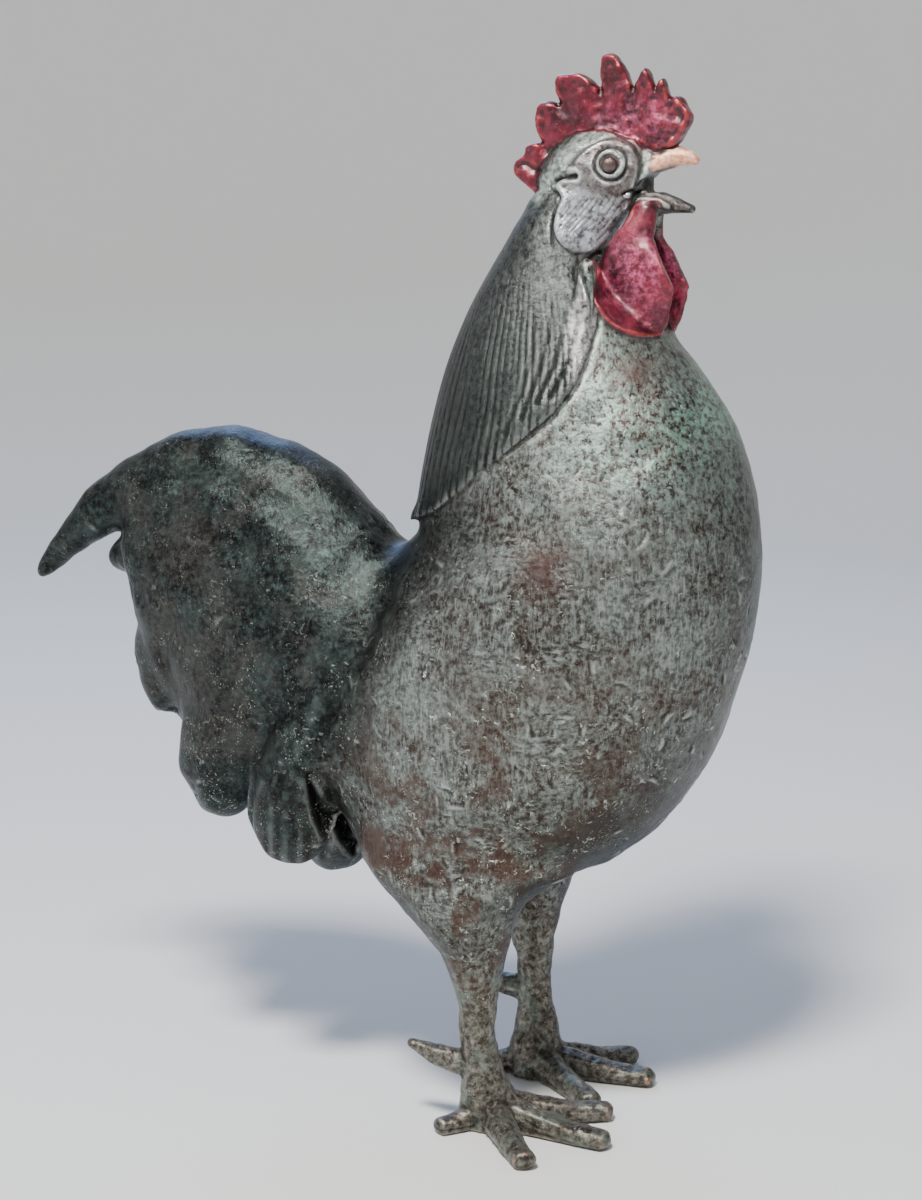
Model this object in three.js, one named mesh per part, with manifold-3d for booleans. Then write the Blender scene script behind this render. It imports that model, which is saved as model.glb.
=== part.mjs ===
// A life-size cast bronze rooster, crowing with its beak open, that stands on its own two feet.
// It is one casting: body, tail, legs, comb and wattles are a single solid with flat soles.
// Lengths are in millimetres. +X is the way the bird faces, +Y is its left and +Z is up.
// The origin is on the ground under the middle of the figure.

import * as THREE from "three";
import { mergeVertices } from "three/addons/utils/BufferGeometryUtils.js";
import Module from "manifold-3d";

// Driving sizes
const HEIGHT = 700; // sole to the highest point of the comb
const LEG_SPACING = 118; // between the middles of the two shanks
const SHANK_DEPTH = 24; // front to back, at the thinnest
const SHANK_WIDTH = 23; // side to side, at the thinnest
const TOE_LENGTH = 90; // from the middle of the foot to the tip of the middle toe
const TOE_WIDTH = 20;
const TOE_HEIGHT = 15;
const SPUR_LENGTH = 36;
const COMB_THICKNESS = 12;
const COMB_BEVEL = 3.5;
const WATTLE_THICKNESS = 13;
const WATTLE_SPREAD = 36; // between the middles of the two wattles
const EYE_RADIUS = 6.5;
const HACKLE_STEP = 5; // how far the neck feathers stand proud of the back at their hem
const HACKLE_FLUTE = 1.7; // depth of a flute between two neck feathers
const HACKLE_FEATHERS = 12; // flutes on each side of the neck
const FACE_STEP = 2.5; // how far the bare face stands proud of the head
const SOLE_CUT = 3; // what is cut off the underside of each toe to make it stand flat

// The free form of the bird is drawn at a height of 700 mm and grows with HEIGHT.
const DRAWN_HEIGHT = 700;
const grow = HEIGHT / DRAWN_HEIGHT;

const wasm = await Module();
wasm.setup();

// A smooth run of one number down a table of stations, read at t from 0 to 1.
function run(rows, column) {
  const curve = new THREE.SplineCurve(
    rows.map((row, i) => new THREE.Vector2(i, row[column])),
  );
  return (t) => curve.getPoint(t).y;
}

// Values of t from 0 to 1, left open at both ends, that crowd towards a domed end.
function stepsOf(count, domeA, domeB) {
  const ends = 2;
  const steps = [];
  for (let i = 1; i <= ends; i++)
    steps.push(domeA * (1 - Math.cos((i * Math.PI) / (2 * ends + 1))));
  for (let i = 0; i <= count; i++)
    steps.push(domeA + ((1 - domeA - domeB) * i) / count);
  for (let i = ends; i >= 1; i--)
    steps.push(1 - domeB * (1 - Math.cos((i * Math.PI) / (2 * ends + 1))));
  return steps;
}

// How full a domed limb is at t: 0 at its very ends, 1 between the domes.
function fullness(t, domeA, domeB) {
  const gap = t < domeA ? (domeA - t) / domeA : t > 1 - domeB ? (t - 1 + domeB) / domeB : 0;
  return Math.sqrt(Math.max(0, 1 - gap * gap));
}

// A closed skin over rings of points that turn anticlockwise round the way they are stacked.
function loft(rings, firstPole, lastPole) {
  const sides = rings[0].length;
  const points = [...rings.flat(), firstPole, lastPole];
  const [first, last] = [points.length - 2, points.length - 1];
  const top = (rings.length - 1) * sides;
  const index = [];
  for (let j = 0; j < sides; j++) {
    const next = (j + 1) % sides;
    index.push(first, next, j, last, top + j, top + next);
    for (let i = 0; i < top; i += sides)
      index.push(i + j, i + next, i + sides + j, i + next, i + sides + next, i + sides + j);
  }
  const geometry = new THREE.BufferGeometry().setFromPoints(points);
  geometry.setIndex(index);
  return geometry;
}

// A closed geometry as a solid that can be joined and cut.
function solidOf(geometry) {
  const bare = geometry.clone();
  bare.deleteAttribute("normal");
  bare.deleteAttribute("uv");
  const merged = mergeVertices(bare, 1e-4);
  return new wasm.Manifold(
    new wasm.Mesh({
      numProp: 3,
      vertProperties: new Float32Array(merged.attributes.position.array),
      triVerts: new Uint32Array(merged.index.array),
    }),
  );
}

// A rounded limb along a path. Each station is x, y, z, then half its size in the plane of the
// path and the upright, and half its size across, towards `across`.
function limb(stations, { sides = 12, steps = 8, domes = [0.1, 0.1], across = [0, 1, 0], swell = 0 }) {
  const [x, y, z, high, wide] = [0, 1, 2, 3, 4].map((column) => run(stations, column));
  const at = (t) => new THREE.Vector3(x(t), y(t), z(t)).multiplyScalar(grow);
  const side = new THREE.Vector3(...across);
  const rings = stepsOf(steps, ...domes).map((t) => {
    const nudge = 1e-3;
    const along = at(Math.min(1, t + nudge)).sub(at(Math.max(0, t - nudge))).normalize();
    const out = side.clone().addScaledVector(along, -side.dot(along)).normalize();
    const up = out.clone().cross(along);
    const full = fullness(t, ...domes) * grow;
    const [h, w] = [(high(t) + swell) * full, (wide(t) + swell) * full];
    return Array.from({ length: sides }, (_, j) => {
      const turn = (2 * Math.PI * j) / sides;
      return at(t).addScaledVector(up, h * Math.cos(turn)).addScaledVector(out, w * Math.sin(turn));
    });
  });
  return solidOf(loft(rings, at(0), at(1)));
}

// A barrel between a front line and a back line seen from the side. Each station is the front's
// x and z, the back's x and z, and half the width. `relief` lifts its skin by millimetres.
function barrel(stations, { sides, steps, from = 0, to = 1, relief = () => 0 }) {
  const [fx, fz, bx, bz, half] = [0, 1, 2, 3, 4].map((column) => run(stations, column));
  const ring = (t) =>
    Array.from({ length: sides }, (_, j) => {
      const turn = (2 * Math.PI * j) / sides;
      const [reach, width] = [Math.cos(turn), half(t) * Math.sin(turn)];
      const middle = new THREE.Vector3((fx(t) + bx(t)) / 2, 0, (fz(t) + bz(t)) / 2);
      const forward = new THREE.Vector3((fx(t) - bx(t)) / 2, 0, (fz(t) - bz(t)) / 2);
      const spoke = forward.multiplyScalar(reach).add(new THREE.Vector3(0, width, 0));
      const lift = relief(t, turn) / Math.max(1, spoke.length());
      return middle.addScaledVector(spoke, 1 + lift).multiplyScalar(grow);
    });
  const pole = (t) =>
    new THREE.Vector3((fx(t) + bx(t)) / 2, 0, (fz(t) + bz(t)) / 2).multiplyScalar(grow);
  const inset = (to - from) / (8 * steps);
  const rings = Array.from({ length: steps + 1 }, (_, i) =>
    ring(THREE.MathUtils.lerp(from + inset, to - inset, i / steps)),
  );
  return solidOf(loft(rings, pole(from), pole(to)));
}

// A plate with the outline of a shape drawn from the side, thick across the bird.
function plate(shape, thickness, bevel = 0, curveSegments = 4) {
  const geometry = new THREE.ExtrudeGeometry(shape, {
    depth: thickness - 2 * bevel,
    bevelEnabled: bevel > 0,
    bevelThickness: bevel,
    bevelSize: bevel / 3,
    bevelOffset: -bevel / 3,
    bevelSegments: 1,
    curveSegments,
  });
  return geometry.translate(0, 0, bevel - thickness / 2).rotateX(Math.PI / 2);
}

// A closed outline drawn from the side, smooth through its points.
function roundShape(points) {
  const [first, ...rest] = points.map(([x, z]) => new THREE.Vector2(x, z).multiplyScalar(grow));
  return new THREE.Shape().moveTo(first.x, first.y).splineThru([...rest, first]);
}

const mirrored = (stations) => stations.map(([x, y, ...rest]) => [x, -y, ...rest]);
const joined = (solids) => wasm.Manifold.union(solids);

// Trunk: belly, breast and neck in one barrel, from between the legs up into the head
const TRUNK = [
  [56, 160, 54, 160, 1],
  [102, 168, 2, 156, 50],
  [143, 187, -40, 168, 80],
  [178, 224, -64, 202, 96],
  [203, 276, -76, 248, 104],
  [217, 325, -66, 300, 105],
  [223, 370, -42, 350, 101],
  [221, 412, -8, 388, 93],
  [210, 454, -1, 428, 82],
  [190, 491, 6, 470, 70],
  [164, 523, 17, 512, 59],
  [138, 548, 33, 550, 48],
  [119, 573, 49, 577, 38],
  [121, 598, 63, 601, 30],
  [128, 620, 78, 622, 24],
  [106, 638, 102, 638, 8],
];

function trunk() {
  return barrel(TRUNK, { sides: 30, steps: 19 });
}

// Hackle: the cape of long neck feathers, a fluted skin that stands proud of the back at its hem
const HACKLE_OUTLINE = [
  [60, 640], [94, 607], [100, 582], [120, 568], [124, 550], [120, 525], [115, 504], [102, 482],
  [83, 461], [63, 443], [40, 424], [20, 411], [-8, 399], [-40, 394], [-70, 480], [-20, 590],
];
const HACKLE_FOLD = [
  [116, 36, 576, 4, 3],
  [118, 43, 552, 8, 6],
  [113, 52, 526, 9, 6],
  [105, 61, 500, 7, 5],
  [95, 68, 476, 3, 3],
];
const HACKLE_FROM = 6 / 15; // its hem, down the trunk's stations
const HACKLE_TO = 13.5 / 15;

function hackle() {
  const relief = (t, turn) => {
    const down = THREE.MathUtils.smoothstep(HACKLE_TO - t, 0, HACKLE_TO - HACKLE_FROM);
    const flute = Math.cos(2 * HACKLE_FEATHERS * turn) * HACKLE_FLUTE;
    return down * (HACKLE_STEP + 1) - 1 + (0.1 + 0.9 * down) * flute;
  };
  const skin = barrel(TRUNK, {
    sides: 4 * HACKLE_FEATHERS,
    steps: 8,
    from: HACKLE_FROM,
    to: HACKLE_TO,
    relief,
  });
  const cape = skin.intersect(solidOf(plate(roundShape(HACKLE_OUTLINE), HEIGHT, 0, 2)));
  const folds = [HACKLE_FOLD, mirrored(HACKLE_FOLD)].map((fold) => limb(fold, { sides: 7, steps: 4 }));
  return joined([cape, ...folds]);
}

// Tail: a long sickle feather over two broad lobes on the middle plane, and two drapes a side
const SICKLE = [
  [-10, 0, 305, 40, 50],
  [-56, 0, 351, 45, 49],
  [-89, 0, 386, 46, 43],
  [-120, 0, 407, 44, 37],
  [-158, 0, 419, 37.5, 30],
  [-200, 0, 414, 29, 22],
  [-243, 0, 394, 19, 15],
  [-266, 0, 376, 13, 11],
  [-284, 0, 358, 9, 8],
  [-299, 0, 341, 4.5, 4.5],
];
const SECOND_LOBE = [
  [-40, 0, 330, 40, 46],
  [-110, 0, 365, 44, 42],
  [-170, 0, 372, 36, 31],
  [-208, 0, 367, 24, 21],
  [-230, 0, 360, 14, 13],
  [-241, 0, 357, 6, 6],
];
const THIRD_LOBE = [
  [-40, 0, 310, 40, 50],
  [-105, 0, 340, 46, 48],
  [-155, 0, 336, 44, 39],
  [-188, 0, 315, 34, 30],
  [-200, 0, 288, 24.5, 22],
  [-201, 0, 266, 16, 15],
  [-197, 0, 251, 8, 9],
];
const UPPER_DRAPE = [
  [-10, 24, 320, 36, 34],
  [-70, 27, 306, 46, 38],
  [-118, 26, 276, 46, 36],
  [-140, 24, 238, 39, 31],
  [-144, 22, 209, 31, 24],
  [-139, 20, 187, 15, 13],
];
const LOWER_DRAPE = [
  [0, 36, 326, 20, 22],
  [-42, 49, 292, 23, 24],
  [-66, 55, 255, 27, 24],
  [-81, 55, 219, 34, 23],
  [-81, 52, 190, 32, 18],
  [-75, 50, 166, 15, 8],
];
// The down under the tail fills the space between the drapes and reaches a little lower.
const UNDER_DOWN = [
  [-10, 0, 290, 40, 50],
  [-48, 0, 238, 46, 46],
  [-66, 0, 196, 40, 42],
  [-70, 0, 170, 27, 34],
  [-69, 0, 151, 10, 16],
];

const TAIL_CORE = [
  [5, 350, -50, 182, 76],
  [-40, 395, -85, 182, 70],
  [-88, 434, -124, 190, 61],
  [-145, 450, -163, 213, 50],
  [-193, 442, -197, 257, 38],
  [-224, 421, -214, 310, 27],
  [-237, 404, -220, 350, 12],
];

function tail() {
  const core = barrel(TAIL_CORE, { sides: 16, steps: 6 });
  const sickle = limb(SICKLE, { sides: 12, steps: 10, domes: [0.08, 0.06] });
  const middle = [SECOND_LOBE, THIRD_LOBE, UNDER_DOWN].map((stations) =>
    limb(stations, { sides: 10, steps: 6, domes: [0.08, 0.06] }),
  );
  const sides = [UPPER_DRAPE, LOWER_DRAPE].flatMap((stations) =>
    [stations, mirrored(stations)].map((half) => limb(half, { sides: 10, steps: 5, domes: [0.1, 0.12] })),
  );
  return joined([core, sickle, ...middle, ...sides]);
}

// Head: skull, with the bare face and ear lobe raised a little on each side
const SKULL = [
  [84, 0, 602, 20, 18],
  [95, 0, 612, 30, 24],
  [106, 0, 620, 34, 26],
  [118, 0, 625, 31, 26],
  [130, 0, 627, 25, 23],
  [143, 0, 626, 17, 16],
  [153, 0, 625, 11, 10],
];
const FACE_OUTLINE = [
  [95, 618], [105, 631], [114, 643], [125, 647], [136, 645], [143, 637], [143, 622], [139, 612],
  [132, 600], [123, 586], [114, 578], [106, 577], [99, 583], [95, 594], [94, 607],
];
const EYE_AT = [127, 631.5];
const EYE_DEPTH = 24; // from the middle plane to the middle of the eyeball

function head() {
  const face = solidOf(plate(roundShape(FACE_OUTLINE), HEIGHT, 0, 1.5));
  const swollen = [
    limb(SKULL, { sides: 14, steps: 5, swell: FACE_STEP }),
    barrel(TRUNK, { sides: 20, steps: 4, from: 11 / 15, to: 1, relief: () => FACE_STEP + 1.5 }),
  ];
  return joined([limb(SKULL, { sides: 14, steps: 5 }), joined(swollen).intersect(face), ...eyes()]);
}

function eyes() {
  return [-1, 1].flatMap((side) => {
    const [x, z] = EYE_AT;
    const place = [x * grow, side * EYE_DEPTH * grow, z * grow];
    const ball = new THREE.SphereGeometry(EYE_RADIUS * 0.7, 8, 5).translate(...place);
    const rim = new THREE.TorusGeometry(EYE_RADIUS, EYE_RADIUS * 0.3, 4, 10)
      .rotateX(Math.PI / 2)
      .translate(...place);
    return [solidOf(ball), solidOf(rim)];
  });
}

// Beak: two halves that gape, with the throat between them cut back to the corner of the mouth
const UPPER_BEAK = [
  [128, 0, 626, 14, 15],
  [146, 0, 631, 10.5, 11.5],
  [158, 0, 635.5, 7.5, 8.5],
  [166, 0, 636.5, 6.5, 6.5],
  [173, 0, 635.5, 4.8, 4.8],
  [178.5, 0, 633, 2, 2.2],
];
const LOWER_BEAK = [
  [126, 0, 606, 9, 15],
  [142, 0, 609.5, 7.5, 11.5],
  [156, 0, 607.5, 7, 8.8],
  [165, 0, 606, 5.2, 6.2],
  [170, 0, 605, 3.6, 4.2],
  [176, 0, 603.5, 1.8, 2],
];
const MOUTH = [
  [130, 612], [142, 620], [151, 626], [158, 628.5], [170, 630.5], [190, 630],
  [190, 606], [171, 611], [162, 614], [145, 615],
];
const THROAT = [
  [100, 0, 612, 14, 12],
  [135, 0, 618, 14, 9],
  [149, 0, 619, 10, 6],
];

function beak() {
  return joined([UPPER_BEAK, LOWER_BEAK].map((half) => limb(half, { sides: 10, steps: 5, domes: [0.1, 0.04] })));
}

function mouth() {
  const gape = new THREE.Shape(MOUTH.map(([x, z]) => new THREE.Vector2(x, z).multiplyScalar(grow)));
  return solidOf(plate(gape, 4 * EYE_DEPTH * grow)).subtract(limb(THROAT, { sides: 12, steps: 4 }));
}

// Comb: one blade on the crown with a row of rounded points, from the nape to the beak
const COMB_ROOT = [
  [148, 637], [138, 645], [125, 651], [113, 652], [103, 648], [91, 637], [82, 625], [74, 612],
];
// Each point of the comb: the spots its edge runs through, ending in the notch before the next.
const COMB_POINTS = [
  [[64, 619], [57, 626], [58, 633], [63, 637], [65, 643], [70, 645], [76, 645]],
  [[72, 653], [71, 664], [74, 670], [82, 671], [87, 669]],
  [[84, 678], [85, 686], [93, 688], [102, 688], [110, 682], [115, 676]],
  [[114, 688], [114, 697], [118, 700], [125, 698], [131, 690], [136, 678]],
  [[138, 684], [143, 691], [147, 686], [150, 677]],
  [[152, 683], [156, 684], [160, 673]],
  [[165, 673], [170, 667], [173, 662], [171, 655], [167, 648], [162, 643], [154, 640]],
];

function comb() {
  const spot = ([x, z]) => new THREE.Vector2(x, z).multiplyScalar(grow);
  const shape = new THREE.Shape();
  shape.setFromPoints(COMB_ROOT.map(spot));
  COMB_POINTS.forEach((point) => shape.splineThru(point.map(spot)));
  const blade = plate(shape, COMB_THICKNESS, COMB_BEVEL, 2);
  const place = blade.attributes.position;
  const [low, high] = [COMB_ROOT[7][1] * grow, HEIGHT];
  for (let i = 0; i < place.count; i++) {
    const rise = THREE.MathUtils.clamp((place.getZ(i) - low) / (high - low), 0, 1);
    place.setY(i, place.getY(i) * THREE.MathUtils.lerp(1.25, 0.75, rise));
  }
  return solidOf(blade);
}

// Wattles: two flat drops that hang side by side from the lower beak. Their second number is a share
// of half the spread, and their last a share of half the thickness.
const WATTLE = [
  [149, 0.35, 609, 7.5, 1],
  [142.5, 0.55, 594, 10.5, 1],
  [139.5, 0.9, 578, 17, 0.9],
  [142, 1, 562, 22, 0.9],
  [148.5, 1, 547, 21.5, 0.85],
  [153, 1, 536, 15, 0.75],
  [157, 1, 524, 6, 0.5],
];

function wattles() {
  const out = WATTLE_SPREAD / 2 / grow;
  const thick = WATTLE_THICKNESS / 2 / grow;
  const drop = WATTLE.map(([x, apart, z, wide, full]) => [x, apart * out, z, wide, full * thick]);
  return [drop, mirrored(drop)].map((stations) => limb(stations, { sides: 10, steps: 6, domes: [0.08, 0.08] }));
}

// Legs: each thigh swells out of the belly, and the shank opens into a foot of four toes and a spur
const LEG_AT = 53; // how far ahead of the drawing's zero the shanks stand
const FEET = [
  { side: -1, yaw: -4, hub: [58, 9], toes: [[-6, 1], [-50, 0.93], [30, 0.93]], hind: [232, 0.44], spur: 48 },
  { side: 1, yaw: 2, hub: [57, 8], toes: [[0, 0.96], [-44, 0.9], [34, 0.84]], hind: [188, 0.62], spur: 62 },
];

function leg({ side, hub: [hubX, hubIn], toes, hind, yaw, spur }) {
  const half = LEG_SPACING / 2 / grow;
  const [deep, wide] = [SHANK_DEPTH / 2 / grow, SHANK_WIDTH / 2 / grow];
  const y = side * half;
  const foot = [hubX, y - side * hubIn];
  const column = [
    [48, y * 0.86, 262, 60, 34],
    [44, y * 0.86, 222, 74, 38],
    [44, y * 0.9, 193, 80, 36],
    [44, y * 0.94, 174, 72, 38],
    [45, y * 0.98, 161, 52, 37],
    [47, y, 148, 38, 33],
    [LEG_AT - 3, y, 135, 29, 27],
    [LEG_AT - 2, y, 118, 21, 20],
    [LEG_AT - 1, y, 99, 1.35 * deep, 1.35 * wide],
    [LEG_AT, y, 80, 1.04 * deep, 1.04 * wide],
    [LEG_AT, y, 60, deep, wide],
    [LEG_AT + 2, (2 * y + foot[1]) / 3, 42, 1.15 * deep, 1.15 * wide],
    [(LEG_AT + 3 + foot[0]) / 2, (y + foot[1]) / 2, 26, 1.5 * deep, 1.4 * wide],
    [foot[0], foot[1], 12, 1.8 * deep, 1.65 * wide],
    [foot[0], foot[1], -16, 1.8 * deep, 1.65 * wide],
  ];
  const shank = limb(column, { sides: 12, steps: 13, domes: [0.06, 0.03] });
  const digits = toes.map(([turn, share]) => toe(foot, turn + yaw, share * TOE_LENGTH, 1));
  const back = toe(foot, hind[0] + yaw, hind[1] * TOE_LENGTH, 0.9);
  const horn = limb(
    [
      [LEG_AT - 2, y, spur - 4, 11, 9],
      [LEG_AT - 14, y, spur - 3, 9.5, 8],
      [LEG_AT - 14 - 0.5 * SPUR_LENGTH / grow, y, spur, 7, 6.5],
      [LEG_AT - 14 - SPUR_LENGTH / grow, y, spur + 6, 3, 3],
    ],
    { sides: 8, steps: 3, domes: [0.1, 0.08] },
  );
  return joined([shank, ...digits, back, horn]);
}

// A toe from the middle of a foot: a thick finger that dips at its middle and swells to a blunt tip
function toe([x, y], turn, length, full) {
  const [dx, dy] = [Math.cos(THREE.MathUtils.degToRad(turn)), Math.sin(THREE.MathUtils.degToRad(turn))];
  const reach = length / grow;
  const [high, wide] = [(full * TOE_HEIGHT) / 2 / grow, (full * TOE_WIDTH) / 2 / grow];
  const station = (share, up, thick) => [
    x + dx * reach * share,
    y + dy * reach * share,
    (high + SOLE_CUT / -2 / grow) * up,
    high * up,
    wide * thick,
  ];
  return limb(
    [
      station(0, 2, 1.2),
      station(0.3, 1.6, 1.05),
      station(0.55, 1.1, 0.95),
      station(0.8, 1, 0.95),
      station(1, 0.9, 0.8),
    ],
    { sides: 8, steps: 3, domes: [0.1, 0.1], across: [-dy, dx, 0] },
  );
}

// The whole casting: its parts joined, the mouth opened and the soles cut flat
function rooster() {
  const ground = new THREE.BoxGeometry(2 * HEIGHT, 2 * HEIGHT, HEIGHT).translate(0, 0, -HEIGHT / 2);
  const cast = joined([trunk(), hackle(), tail(), head(), beak()])
    .subtract(mouth())
    .add(joined([comb(), ...wattles(), ...FEET.map(leg)]))
    .subtract(solidOf(ground));
  const mesh = cast.getMesh();
  const geometry = new THREE.BufferGeometry()
    .setAttribute("position", new THREE.BufferAttribute(mesh.vertProperties, 3))
    .setIndex(new THREE.BufferAttribute(mesh.triVerts, 1));
  geometry.computeBoundingBox();
  const middle = geometry.boundingBox.getCenter(new THREE.Vector3());
  return geometry.translate(-middle.x, -middle.y, -geometry.boundingBox.min.z);
}

const bronze = new THREE.MeshStandardMaterial({ color: 0x5a514a, roughness: 0.5, metalness: 0.85 });
const casting = new THREE.Mesh(rooster(), bronze);
casting.name = "rooster";

const group = new THREE.Group();
group.add(casting);
export default group;
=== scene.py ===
# %% [markdown]
# A cast bronze rooster, dressed for its portrait.
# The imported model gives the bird's true size, pose and outline as one faceted solid.
# Bronze has no joints to show, so the whole bird is one skin that is smoothed, carved and painted
# here in the order a foundry works: clay surface first, then feathers and face, then patina.

# %% Load the frame
import math

import bpy
import numpy as np
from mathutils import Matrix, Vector, kdtree


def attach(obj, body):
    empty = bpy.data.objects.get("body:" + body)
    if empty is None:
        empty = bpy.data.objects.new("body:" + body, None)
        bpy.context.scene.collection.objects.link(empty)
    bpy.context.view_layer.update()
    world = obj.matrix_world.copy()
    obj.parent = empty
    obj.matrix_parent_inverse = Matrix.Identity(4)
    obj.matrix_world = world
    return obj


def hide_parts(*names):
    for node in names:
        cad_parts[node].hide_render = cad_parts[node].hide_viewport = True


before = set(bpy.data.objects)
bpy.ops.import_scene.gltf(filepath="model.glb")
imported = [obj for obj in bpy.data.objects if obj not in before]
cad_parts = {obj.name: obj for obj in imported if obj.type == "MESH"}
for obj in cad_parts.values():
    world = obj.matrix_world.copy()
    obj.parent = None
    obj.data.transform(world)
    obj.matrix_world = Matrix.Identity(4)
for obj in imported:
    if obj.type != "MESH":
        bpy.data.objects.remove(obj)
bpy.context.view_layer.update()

# %% [markdown]
# Every carving is placed in millimetres from the spot on the ground where the drawing of the bird
# has its zero, with x forward, y to the bird's left and z up. That zero lies a little ahead of and
# beside the middle of the bounding box, so two numbers turn the drawing's places into the model's.

# %% Measure in the drawing's millimetres
MM = 0.001
DRAWING_ZERO = np.array([38.5, 7.6, 0.0])


def to_drawing(metres):
    """Places in the model's metres, as millimetres in the drawing."""
    return metres / MM - DRAWING_ZERO


def to_model(millimetres):
    """Places in the drawing's millimetres, as metres in the model."""
    return (millimetres + DRAWING_ZERO) * MM


def ramp(value, low, high):
    """Rises smoothly from 0 at low to 1 at high."""
    share = np.clip((value - low) / (high - low), 0, 1)
    return share * share * (3 - 2 * share)


def fall(value, low, high):
    """Falls smoothly from 1 at low to 0 at high."""
    return ramp(-value, -high, -low)


# %% [markdown]
# The portrait is taken from standing height, a little to the front of the bird's right side. A lens
# of 77 mm from under two metres keeps the perspective of the photograph: the breast looms slightly
# and the tail falls away. A camera looks straight down until it is turned, so its tilt is counted up
# from there, and its turn from the view square to the bird's right side.

# %% Set up the camera
SENSOR_WIDTH = 36.0
LENS_LENGTH = 77.5
CAMERA_PLACE = (0.6422, -1.5816, 0.658)
CAMERA_TILT = math.radians(79.51)
CAMERA_TURN = math.radians(20.18)

lens = bpy.data.cameras.new("portrait")
lens.sensor_width = SENSOR_WIDTH
lens.lens = LENS_LENGTH
camera = bpy.data.objects.new("portrait", lens)
camera.location = CAMERA_PLACE
camera.rotation_euler = (CAMERA_TILT, 0.0, CAMERA_TURN)
bpy.context.scene.collection.objects.link(camera)
bpy.context.scene.camera = camera
print("camera", round(math.hypot(*CAMERA_PLACE[:2]), 2), "m away from the middle of the bird")

# %% [markdown]
# The solid's facets are about 20 mm across, far coarser than the casting's surface. A voxel remesh
# turns them into an even cloth of small quads that can be smoothed and carved anywhere. A
# subdivision surface would be lighter, but it needs clean quads to start from, and a solid that was
# joined from many forms has none.
# The head carries most of the carving, so the bird is first stretched as in a magnifying glass:
# twice as large at the head and half as large again at the feet. The remesh then gives those parts
# finer quads, and the stretch is undone afterwards.

# %% Wrap the solid in a fine even skin
VOXEL = 1.6
CORE_VOXEL = 5.0
LEVELS = np.arange(-30.0, 780.0)
ZOOM = 1 + ramp(LEVELS, 460, 575) + 0.5 * fall(LEVELS, 80, 150)
ZOOMED = np.cumsum(ZOOM)
SPINE = ([90, 250, 420, 600], [56, 60, 80, 110])


def magnified(places):
    """The bird with its head and feet drawn larger."""
    middle = np.interp(places[:, 2], *SPINE)
    zoom = np.interp(places[:, 2], LEVELS, ZOOM)
    tall = np.interp(places[:, 2], LEVELS, ZOOMED)
    return np.stack([middle + (places[:, 0] - middle) * zoom, places[:, 1] * zoom, tall], axis=1)


def restored(places):
    """Undoes the magnifying."""
    height = np.interp(places[:, 2], ZOOMED, LEVELS)
    middle = np.interp(height, *SPINE)
    zoom = np.interp(height, LEVELS, ZOOM)
    return np.stack([middle + (places[:, 0] - middle) / zoom, places[:, 1] / zoom, height], axis=1)


def places_of(mesh):
    """The points of a mesh as rows of x, y and z."""
    flat = np.empty(len(mesh.vertices) * 3)
    mesh.vertices.foreach_get("co", flat)
    return flat.reshape(-1, 3)


def shaped(mesh, kind, **settings):
    """A new mesh, made by one modifier from another mesh."""
    piece = bpy.data.objects.new("work", mesh)
    bpy.context.scene.collection.objects.link(piece)
    modifier = piece.modifiers.new("work", kind)
    for key, setting in settings.items():
        setattr(modifier, key, setting)
    worked = piece.evaluated_get(bpy.context.evaluated_depsgraph_get())
    result = bpy.data.meshes.new_from_object(worked)
    bpy.data.objects.remove(piece)
    return result


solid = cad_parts["rooster"].data.copy()
solid.vertices.foreach_set("co", (to_drawing(places_of(solid)) * MM).ravel())
core = shaped(solid, "REMESH", mode="VOXEL", voxel_size=CORE_VOXEL * MM)
solid.vertices.foreach_set("co", (magnified(places_of(solid) / MM) * MM).ravel())
skin = shaped(solid, "REMESH", mode="VOXEL", voxel_size=VOXEL * MM)
points = restored(places_of(skin) / MM)
print("skin of", len(points), "points, core of", len(core.vertices))

# %% [markdown]
# Two measures do most of the work from here on. One is how far a point lies inside an outline that
# is drawn from the side, which picks out the comb, the wattles or the cape. The other is how near a
# point lies to a drawn stroke, which carves a groove. Both are plain distances to line segments.
# They are worked out only for points close to the drawing, since nothing acts from further away.
# A bell-shaped curve over such a distance gives a groove or a ridge its soft section.

# %% Measure from outlines and strokes
FAR = 30.0


def bell(distance, width, power=2):
    """Is 1 at no distance, and fades to nothing at about twice the width."""
    return np.exp(-(np.abs(distance / width) ** power))


def round_spot(middle_x, middle_z, width):
    """A soft round spot on the side view."""
    return bell(np.hypot(x - middle_x, z - middle_z), width)


def close_to(line):
    """Numbers of the points that lie within reach of a drawn line's bounding box."""
    low = np.min(line, axis=0) - FAR
    high = np.max(line, axis=0) + FAR
    return np.flatnonzero((x > low[0]) & (x < high[0]) & (z > low[1]) & (z < high[1]))


def distance_to(line):
    """Distance from every point in the side view to a line through drawn spots."""
    near = close_to(line)
    best = np.full(len(x), FAR)
    for (ax, az), (bx, bz) in zip(line[:-1], line[1:]):
        dx = x[near] - ax
        dz = z[near] - az
        share = np.clip((dx * (bx - ax) + dz * (bz - az)) / ((bx - ax) ** 2 + (bz - az) ** 2), 0, 1)
        reach = np.hypot(dx - share * (bx - ax), dz - share * (bz - az))
        best[near] = np.minimum(best[near], reach)
    return best


def inside(outline):
    """Distance inside a closed outline in the side view, negative outside it."""
    closed = [*outline, outline[0]]
    near = close_to(outline)
    within = np.zeros(len(near), bool)
    for (ax, az), (bx, bz) in zip(closed[:-1], closed[1:]):
        if az != bz:
            crosses = (az > z[near]) != (bz > z[near])
            within ^= crosses & (x[near] < (bx - ax) * (z[near] - az) / (bz - az) + ax)
    depth = -distance_to(closed)
    depth[near[within]] *= -1
    return depth


# %% [markdown]
# The outlines below are the bird's own regions, seen from its right side: comb, wattle, bare face,
# beak, mouth and the cape of neck feathers. A region is also bounded across the bird, because the
# comb is a thin blade on the middle plane and the wattles hang beside it.

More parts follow.
